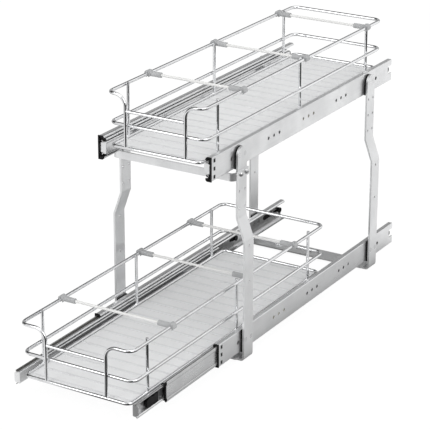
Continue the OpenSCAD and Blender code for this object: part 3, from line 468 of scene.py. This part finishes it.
def grown(name, tree, seats, sizes, finish, links=()):
    """Runs a repeat tree, and keeps the result as a plain mesh piece.

    Each seat is a point in millimetres and a turn; links join the points in pairs.
    """
    seed = bpy.data.meshes.new(name + "_points")
    seed.from_pydata([tuple(Vector(point) * MM) for point, turn in seats], list(links), [])
    turned = seed.attributes.new("turn", "FLOAT_VECTOR", "POINT")
    for i, (point, turn) in enumerate(seats):
        turned.data[i].vector = turn
    carrier = placed(name + "_carrier", seed)
    grower = carrier.modifiers.new("grow", "NODES")
    grower.node_group = tree
    for label, value in sizes.items():
        grower[socket_id(tree, label)] = value
    grower[socket_id(tree, "Finish")] = finish
    carrier.update_tag()
    graph = bpy.context.evaluated_depsgraph_get()
    plain = bpy.data.meshes.new_from_object(carrier.evaluated_get(graph))
    plain.name = name
    carrier.modifiers.remove(grower)
    bpy.data.objects.remove(carrier)
    bpy.data.meshes.remove(seed)
    smoothed(plain)
    return placed(name, plain)


def turned_by_point(add):
    """The rotation that each point carries in its own turn."""
    turn = add("GeometryNodeInputNamedAttribute", {"data_type": "FLOAT_VECTOR"}, {"Name": "turn"})
    spin = add("FunctionNodeEulerToRotation", {}, {"Euler": turn.outputs["Attribute"]})
    return spin.outputs["Rotation"]


# ------------------------------------------------------------------ weld beads

def bead_tree():
    """A flattened bead of weld metal on each point."""
    tree, source, add = repeat_tree("weld_beads", ("Bead Radius", "Flatness"))
    ball = add("GeometryNodeMeshIcoSphere", {}, {
        "Radius": source.outputs["Bead Radius"], "Subdivisions": 3})
    squash = add("ShaderNodeCombineXYZ", {}, {"X": 1.0, "Y": 1.0, "Z": source.outputs["Flatness"]})
    flat = add("GeometryNodeTransform", {}, {
        "Geometry": ball.outputs["Mesh"], "Scale": squash.outputs["Vector"]})
    stand = add("GeometryNodeInstanceOnPoints", {}, {
        "Points": source.outputs["Geometry"], "Instance": flat.outputs["Geometry"],
        "Rotation": turned_by_point(add)})
    finish_tree(tree, source, add, stand.outputs["Instances"])
    return tree


# The turns of a bead that is flattened along X, along Y and along Z.
ACROSS = (0.0, math.pi / 2, 0.0)
ALONG = (math.pi / 2, 0.0, 0.0)
FLAT = (0.0, 0.0, 0.0)
# Half a wire and half a post, welded into each other.
WIRE_STEP = (RAIL_D + POST_D) / 2 - WELD


def basket_lines(tier):
    """A basket's own frame: the X of its rail and of its posts, and the Y of its front and back."""
    rail_x = HALF_W[tier] - RAIL_IN
    shift = -PULL[tier] - ORIGIN_DEPTH
    return rail_x, rail_x - WIRE_STEP, FRONT_WIRE + shift, BACK_WIRE + shift


def weld_spots(tier):
    """Where the wires of one basket cross, and which way each joint is flattened."""
    rail_x, post_x, front, _ = basket_lines(tier)
    z = SLIDE_Z[tier]
    touch_x = rail_x - RAIL_D / 2 + WELD / 2
    spots = []
    for side in SIDES:
        for place in POST_PLACES:
            for rise in (MID_RISE, TOP_RISE):
                spots.append(((side * touch_x, front + place, z + rise), ACROSS))
            spots.append(((side * post_x, front + place, z + BASE_RISE + RAIL_D / 2), FLAT))
        spots.append(((side * UPRIGHT_X, front, z + BASE_RISE + RAIL_D / 2), FLAT))
        spots.append(((side * UPRIGHT_X, front + RAIL_D / 2, z + MID_RISE), ALONG))
        spots.append(((side * (UPRIGHT_X - RAIL_D / 2), front, z + SHORT_RISE), ACROSS))
        for place in FLOOR_WIRE_PLACES:
            spots.append(((side * post_x, front + place, z + BASE_RISE - RAIL_D / 2), FLAT))
    return spots


BEADS = bead_tree()
for tier in TIERS:
    beads = grown(tier + "_weld_beads", BEADS, weld_spots(tier),
                  {"Bead Radius": BEAD_R * MM, "Flatness": BEAD_FLATNESS},
                  FINISHES["chrome_wire"])
    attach(beads, tier + "_basket")


# ------------------------------------------------------------------ basket wires

def bent_path(corners, radii, step=math.radians(7.5)):
    """The centre line of a bent wire: straight runs, with an arc at each inner corner."""
    points = [Vector(corners[0])]
    for i in range(1, len(corners) - 1):
        here = Vector(corners[i])
        before = (here - Vector(corners[i - 1])).normalized()
        after = (Vector(corners[i + 1]) - here).normalized()
        turn = before.angle(after)
        cut = radii[i - 1] * math.tan(turn / 2)
        inward = (after - before * after.dot(before)).normalized()
        centre = here - before * cut + inward * radii[i - 1]
        steps = max(2, round(turn / step))
        for k in range(steps + 1):
            a = turn * k / steps
            points.append(centre + radii[i - 1] * (before * math.sin(a) - inward * math.cos(a)))
    points.append(Vector(corners[-1]))
    return points


def wire_tree():
    """A round wire of a given thickness along each chain of edges."""
    tree, source, add = repeat_tree("drawn_wire", ("Wire Radius",))
    line = add("GeometryNodeMeshToCurve", {}, {"Mesh": source.outputs["Geometry"]})
    ring = add("GeometryNodeCurvePrimitiveCircle", {"mode": "RADIUS"}, {
        "Resolution": RING_SIDES, "Radius": source.outputs["Wire Radius"]})
    swept = add("GeometryNodeCurveToMesh", {}, {
        "Curve": line.outputs["Curve"], "Profile Curve": ring.outputs["Curve"], "Fill Caps": True})
    finish_tree(tree, source, add, swept.outputs["Mesh"])
    return tree


WIRES = wire_tree()


def wire_piece(tier, node, paths, diameter):
    """One node's wires: each path is a list of points, in millimetres."""
    seats, links = [], []
    for path in paths:
        first = len(seats)
        seats.extend((point, FLAT) for point in path)
        links.extend((i, i + 1) for i in range(first, len(seats) - 1))
    piece = grown(f"{tier}_{node}_drawn", WIRES, seats,
                  {"Wire Radius": diameter / 2 * MM}, FINISHES["chrome_wire"], links)
    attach(piece, tier + "_basket")
    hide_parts(f"{tier}_{node}")


def level_loop(x, front, back, z, r):
    """A level loop with round corners, closed in the middle of its back."""
    return bent_path([(0, back, z), (x, back, z), (x, front, z),
                      (-x, front, z), (-x, back, z), (0, back, z)], [r] * 4)


def basket_wires(tier):
    """All wires of one basket, node by node."""
    rail_x, post_x, front, back = basket_lines(tier)
    z = SLIDE_Z[tier]
    foot, top = z + BASE_RISE + RAIL_D / 2 - WELD, z + TOP_RISE
    rail = [(UPRIGHT_X, front, foot), (UPRIGHT_X, front, top),
            (rail_x, front, top), (rail_x, back, top),
            (-rail_x, back, top), (-rail_x, front, top),
            (-UPRIGHT_X, front, top), (-UPRIGHT_X, front, foot)]
    wire_piece(tier, "top_rail", [
        bent_path(rail, [UPRIGHT_BEND_R] + [CORNER_R] * 4 + [UPRIGHT_BEND_R])], RAIL_D)
    wire_piece(tier, "mid_loop", [
        level_loop(rail_x, front + RAIL_D - WELD, back, z + MID_RISE, CORNER_R)], RAIL_D)
    wire_piece(tier, "base_loop", [
        level_loop(post_x, front, back - WIRE_STEP, z + BASE_RISE, BASE_CORNER_R)], RAIL_D)
    wire_piece(tier, "posts", [
        [(side * post_x, front + place, foot),
         (side * post_x, front + place, top + RAIL_D / 2 + POST_STUB)]
        for side in SIDES for place in POST_PLACES], POST_D)
    reach = UPRIGHT_X - RAIL_D / 2 + WELD
    wire_piece(tier, "short_wire", [
        [(-reach, front, z + SHORT_RISE), (reach, front, z + SHORT_RISE)]], POST_D)
    low = z + BASE_RISE - (RAIL_D + FLOOR_WIRE_D) / 2 + WELD
    wire_piece(tier, "floor_wires", [
        [(-post_x, front + place, low), (post_x, front + place, low)]
        for place in FLOOR_WIRE_PLACES], FLOOR_WIRE_D)


for tier in TIERS:
    basket_wires(tier)


# ------------------------------------------------------------------ front retainers

def moulded_retainers():
    """The front retainers as moulded: a flat face plate, and lugs snapped into the slots."""
    build = bmesh.new()
    build.from_mesh(frame["nodes"]["outer_front_retainers"].data)
    steel_end = -ORIGIN_DEPTH
    for corner in build.verts:
        if corner.co.y < (steel_end - 2.0) * MM:
            corner.co.y = (steel_end - PLATE_T) * MM
    bmesh.ops.remove_doubles(build, verts=build.verts, dist=0.00001)
    for tier in TIERS:
        for side in SIDES:
            for row in (-1, 0, 1):
                for size, out in ((LUG, -LUG[0] / 2), (LUG_HEAD, LUG_HEAD[0] / 2)):
                    seat = Vector((side * (HALF_W[tier] + out), steel_end + SLOT_DEPTH,
                                   SLIDE_Z[tier] + row * SLOT_PITCH)) * MM
                    bmesh.ops.create_cube(build, size=MM, matrix=(
                        Matrix.Translation(seat) @ Matrix.Diagonal((*size, 1.0))))
    shape = as_mesh(build, "outer_front_retainers_moulded")
    shape.materials.append(FINISHES["black_plastic"])
    smoothed(shape)
    piece = placed(shape.name, shape)
    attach(piece, "frame")
    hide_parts("outer_front_retainers")


moulded_retainers()


# ------------------------------------------------------------------ screws

def screw_shape(name, head_d, head_h, shank_d, shank_len, thread_pitch):
    """A domed cross-recess screw: head up along +Z, its seat at the origin, millimetres."""
    rings, spokes, steps_a_turn = 18, 48, 8
    rim = head_h * 0.3
    crown = head_h - rim
    dome_r = (head_d ** 2 / 4 + crown ** 2) / (2 * crown)
    recess_arm, recess_half, recess_deep = head_d * 0.27, head_d * 0.055, head_h * 0.62
    build = bmesh.new()

    def height(x, y):
        z = rim + crown - dome_r + math.sqrt(max(dome_r ** 2 - x ** 2 - y ** 2, 0.0))
        along, off = max(abs(x), abs(y)), min(abs(x), abs(y))
        if along < recess_arm and off < recess_half:
            z -= recess_deep * (1.0 - along / recess_arm) ** 0.5
        return z

    # The outlines from the crown down: each gives a radius and a height at an angle.
    def dome(r):
        return lambda angle: (r, height(r * math.cos(angle), r * math.sin(angle)))

    def seat(r):
        return lambda angle: (r, 0.0)

    def thread(z):
        return lambda angle: (shank_d / 2 * (
            0.95 + 0.05 * math.sin(2 * math.pi * z / thread_pitch + angle)), z)

    turns = int(shank_len / thread_pitch * steps_a_turn)
    outlines = [dome(head_d / 2 * ring / rings) for ring in range(1, rings + 1)]
    outlines += [seat(head_d / 2), seat(shank_d / 2)]
    outlines += [thread(-shank_len * step / turns) for step in range(1, turns + 1)]

    levels = []
    for outline in outlines:
        levels.append([])
        for s in range(spokes):
            angle = 2 * math.pi * s / spokes
            r, z = outline(angle)
            levels[-1].append(build.verts.new((r * math.cos(angle), r * math.sin(angle), z)))
    top = build.verts.new((0, 0, height(0, 0)))
    for s in range(spokes):
        t = (s + 1) % spokes
        build.faces.new((top, levels[0][s], levels[0][t]))
        for inner, outer in zip(levels, levels[1:]):
            build.faces.new((inner[s], outer[s], outer[t], inner[t]))
    build.faces.new(list(reversed(levels[-1])))
    bmesh.ops.recalc_face_normals(build, faces=build.faces)
    bmesh.ops.scale(build, vec=(MM, MM, MM), verts=build.verts)
    return bpy.data.objects.new(name, as_mesh(build, name))


def screw_tree(pattern):
    """The pattern screw on each point, turned by the point's own turn and a size factor."""
    tree, source, add = repeat_tree(pattern.name + "_set", ("Size",))
    held = add("GeometryNodeObjectInfo", {"transform_space": "ORIGINAL"}, {"Object": pattern})
    scale = add("ShaderNodeCombineXYZ", {}, {
        axis: source.outputs["Size"] for axis in ("X", "Y", "Z")})
    stand = add("GeometryNodeInstanceOnPoints", {}, {
        "Points": source.outputs["Geometry"], "Instance": held.outputs["Geometry"],
        "Rotation": turned_by_point(add), "Scale": scale.outputs["Vector"]})
    finish_tree(tree, source, add, stand.outputs["Instances"])
    return tree


def screw_set(name, body, replaced, pattern, seats):
    """Screws of one pattern in a node's place, each with its seat."""
    piece = grown(name, screw_tree(pattern), seats, {"Size": 1.0}, FINISHES["screw_steel"])
    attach(piece, body)
    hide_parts(replaced)


# Each pattern: head diameter and height, shank diameter and length, thread pitch.
bar_pattern = screw_shape("bar_screw", 7.6, 3.2, 4.0, 5.6, 0.7)
strap_pattern = screw_shape("strap_screw", 14.0, 5.5, 6.0, 5.0, 1.0)
tab_pattern = screw_shape("tab_screw", 6.0, 2.0, 3.5, 4.7, 0.6)

screw_set("cross_bar_screws_cut", "frame", "cross_bar_screws", bar_pattern, [
    ((side * BAR_SCREW_X, depth - ORIGIN_DEPTH, BAR_SCREW_Z),
     (0.35 * (i + 1) * side, side * math.pi / 2, 0.0))
    for i, depth in enumerate(BAR_SCREW_DEPTHS) for side in SIDES])
screw_set("strap_screws_cut", "frame", "strap_screws", strap_pattern, [
    ((side * STRAP_SCREW_X, depth - ORIGIN_DEPTH, STRAP_SCREW_Z), (0.0, 0.0, spin))
    for depth, spins in zip(STRAP_DEPTHS, ((0.3, 1.1), (0.7, 0.2)))
    for side, spin in zip(SIDES, spins)])
for tier in TIERS:
    screw_set(tier + "_tab_screws_cut", tier + "_basket", tier + "_tab_screws", tab_pattern, [
        ((side * (HALF_W[tier] - SLIDE_T - TAB_T),
          FRONT_WIRE - PULL[tier] + place + step * TAB_SCREW_STEP - ORIGIN_DEPTH,
          SLIDE_Z[tier] - TAB_SCREW_DROP), (0.2 * step, -side * math.pi / 2, 0.0))
        for place in TAB_PLACES for step in (-1, 1) for side in SIDES])

for pattern in (bar_pattern, strap_pattern, tab_pattern):
    bpy.data.objects.remove(pattern)


# ------------------------------------------------------------------ studio

LAMP_AIM = Vector((0.0, 0.0, 0.2))


def studio_floor():
    """A plain pale floor that is white to the camera, apart from the object's shadow.

    Polished metal sees it bright too, apart from dark parts in place of a photographer's dark
    cards: in front right of the unit, beneath it, and half dark to its left.
    """
    half, level = 9.0, -0.0004
    build = bmesh.new()
    build.faces.new([build.verts.new((x * half, y * half, level))
                     for x, y in ((-1, -1), (1, -1), (1, 1), (-1, 1))])
    floor = placed("studio_floor", as_mesh(build, "studio_floor"))
    f = new_finish("studio_floor")
    matt = f.node("ShaderNodeBsdfDiffuse", {}, {"Color": (0.93, 0.93, 0.93, 1.0)})
    x, y = f.axis("X"), f.axis("Y")

    # Seen by what faces right: dim beneath the unit, and nearer white with the distance.
    open_floor = x.ramp(0.09, 0.15).at_least(
        x.ramp(-0.02, 0.05) * (0.35 + 0.65 * y.ramp(0.26, 0.34)))
    right_side = open_floor * (y + 0.5 - (x - 0.12) * 1.65).ramp(-0.05, 0.12)
    behind = y.ramp(0.22, 0.42) * (1 - x.ramp(0.20, 0.26))
    right_side = right_side * (0.62 + 0.50 * x.ramp(0.18, 0.48).at_least(behind))
    # Seen by what faces the front, and by what faces left.
    front_left = (y * 0.26 + 0.117 - x * 0.97).ramp(-0.05, 0.10) * (0 - y).ramp(0.30, 0.50)
    left_side = (0 - x).ramp(0.08, 0.20) * y.ramp(-0.50, -0.20)
    lit = right_side.at_least(front_left).at_least(left_side * 0.45)

    path = f.node("ShaderNodeLightPath")
    glossy = Signal(f, path.outputs["Is Glossy Ray"])
    through = Signal(f, path.outputs["Is Transmission Ray"])
    seen = (Signal(f, path.outputs["Is Camera Ray"]) + through + glossy).at_most(1.0)
    shine = 1.05 * (1 - glossy) + glossy * (0.02 + 0.98 * lit)
    glow = f.node("ShaderNodeEmission", {}, {"Color": (1.0, 1.0, 1.0, 1.0), "Strength": shine})
    mixed = f.node("ShaderNodeMixShader", {}, {
        0: seen * 0.90 + glossy * 0.07, 1: matt.outputs[0], 2: glow.outputs[0]})
    f.node("ShaderNodeOutputMaterial", {}, {"Surface": mixed.outputs[0]})
    floor.data.materials.append(f.owner)


def surroundings():
    """White to the camera. Round the unit, a room with bright windows right and in front."""
    world = bpy.data.worlds.new("studio")
    bpy.context.scene.world = world
    f = Finish(world)
    way = f.node("ShaderNodeTexCoord").outputs["Generated"]
    parts = f.node("ShaderNodeSeparateXYZ", {}, {"Vector": way})
    x, y, z = (Signal(f, parts.outputs[k]) for k in ("X", "Y", "Z"))
    right_window = (x * 0.9 + z * 0.3).ramp(0.12, 0.40)
    front_window = ((0 - y) * 0.7 + z * 0.6 - x * 0.2).ramp(0.62, 0.90)
    overhead = z.ramp(0.88, 0.98)
    dark_corner = (x * 0.51 - y * 0.86).ramp(0.55, 0.80) * (1 - z.ramp(0.60, 0.80))
    backdrop = y.ramp(-0.10, 0.40) * (1 - z.ramp(0.38, 0.52))
    bright = (right_window * (1 - dark_corner)).at_least(front_window)
    bright = bright.at_least(overhead * 0.6).at_least(backdrop * 0.42)

    path = f.node("ShaderNodeLightPath")
    glossy = Signal(f, path.outputs["Is Glossy Ray"])
    through = Signal(f, path.outputs["Is Transmission Ray"])
    seen = (Signal(f, path.outputs["Is Camera Ray"]) + through).at_most(1.0)
    room = glossy * (0.06 + 0.99 * bright) + (1 - glossy) * (0.42 + 0.42 * bright)
    back = f.node("ShaderNodeBackground", {}, {
        "Color": (1.0, 1.0, 1.0, 1.0), "Strength": seen + (1 - seen) * room})
    f.node("ShaderNodeOutputWorld", {}, {"Surface": back.outputs[0]})


def softbox(name, place, width, height, power):
    """A lamp that faces the unit."""
    lamp = bpy.data.lights.new(name, "AREA")
    lamp.shape = "RECTANGLE"
    lamp.size, lamp.size_y = width, height
    lamp.energy = power
    holder = placed(name, lamp)
    holder.location = place
    holder.rotation_euler = (LAMP_AIM - Vector(place)).to_track_quat("-Z", "Y").to_euler()


def photo_camera():
    """The camera that was fitted to the photograph."""
    place = Vector((1.3669, -2.3754, 1.2017))
    aim = Vector((-0.0084, -0.0919, 0.1661))
    roll = math.radians(0.12)
    lens = bpy.data.cameras.new("photo_camera")
    lens.lens = 158.5
    lens.sensor_width = 36.0
    lens.clip_start, lens.clip_end = 0.05, 60.0
    holder = placed("photo_camera", lens)
    turn = (aim - place).to_track_quat("-Z", "Y").to_matrix() @ Matrix.Rotation(roll, 3, "Z")
    holder.location = place
    holder.rotation_euler = turn.to_euler()
    bpy.context.scene.camera = holder


studio_floor()
surroundings()
# Each lamp: place, width and height in metres, power in watts.
softbox("right_box", (2.2, -1.2, 1.6), 1.6, 1.6, 22.0)
softbox("front_box", (-0.9, -2.6, 1.5), 1.4, 1.4, 20.0)
softbox("top_box", (0.0, 0.2, 2.6), 1.8, 1.8, 10.0)
photo_camera()
bpy.context.scene.view_settings.view_transform = "Standard"
